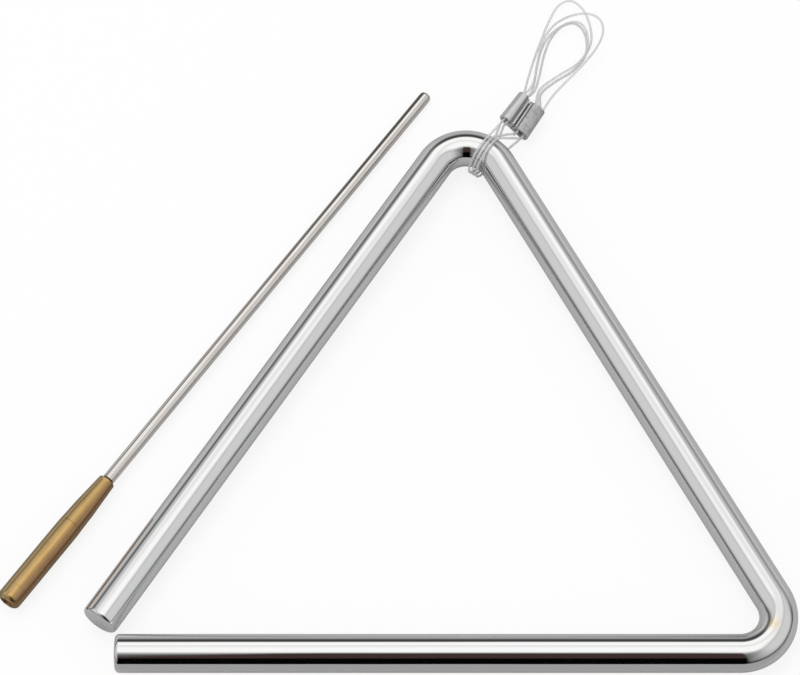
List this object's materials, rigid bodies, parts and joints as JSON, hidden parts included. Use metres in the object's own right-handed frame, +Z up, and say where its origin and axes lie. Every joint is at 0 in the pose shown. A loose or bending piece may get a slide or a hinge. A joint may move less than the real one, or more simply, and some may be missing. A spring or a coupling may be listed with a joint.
{
  "type": "musical triangle",
  "caption": "Round steel bar bent into an open-cornered musical triangle, with a looped line hanger held by a folded crimp and a loose metal beater with a turned handle.",
  "frame": {"origin": "on the table that the part lies on, under the middle of the box round the bar and the beater", "axes": "+X along the bottom leg towards the closed low corner, +Y from the bottom leg towards the apex, +Z up from the table"},
  "size_m": [0.2494, 0.2498, 0.0146],
  "materials": {
    "bar_chrome": "polished",
    "line_nylon": "clear, slightly milky",
    "crimp_aluminium": "dull, scratched by the crimping tool",
    "rod_steel": "bright drawn",
    "handle_brass": "turned, satin"
  },
  "bodies": {
    "bar": {"triangle_bar": "bar_chrome"},
    "hanger": {"hanger_line": "line_nylon", "crimp_ferrule": "crimp_aluminium"},
    "beater": {"beater_rod": "rod_steel", "beater_handle": "handle_brass"}
  },
  "joints": [
    {"name": "hanger_swing", "type": "hinge", "parent": "bar", "child": "hanger", "pos_m": [0.02973, 0.07896, 0.0073], "axis": [0.8221, -0.5693, -0.0041], "range_deg": [-150, 165]},
    {"name": "beater_lift", "type": "slide", "parent": "bar", "child": "beater", "axis": [0, 0, 1], "range_m": [0, 0.15]}
  ]
}
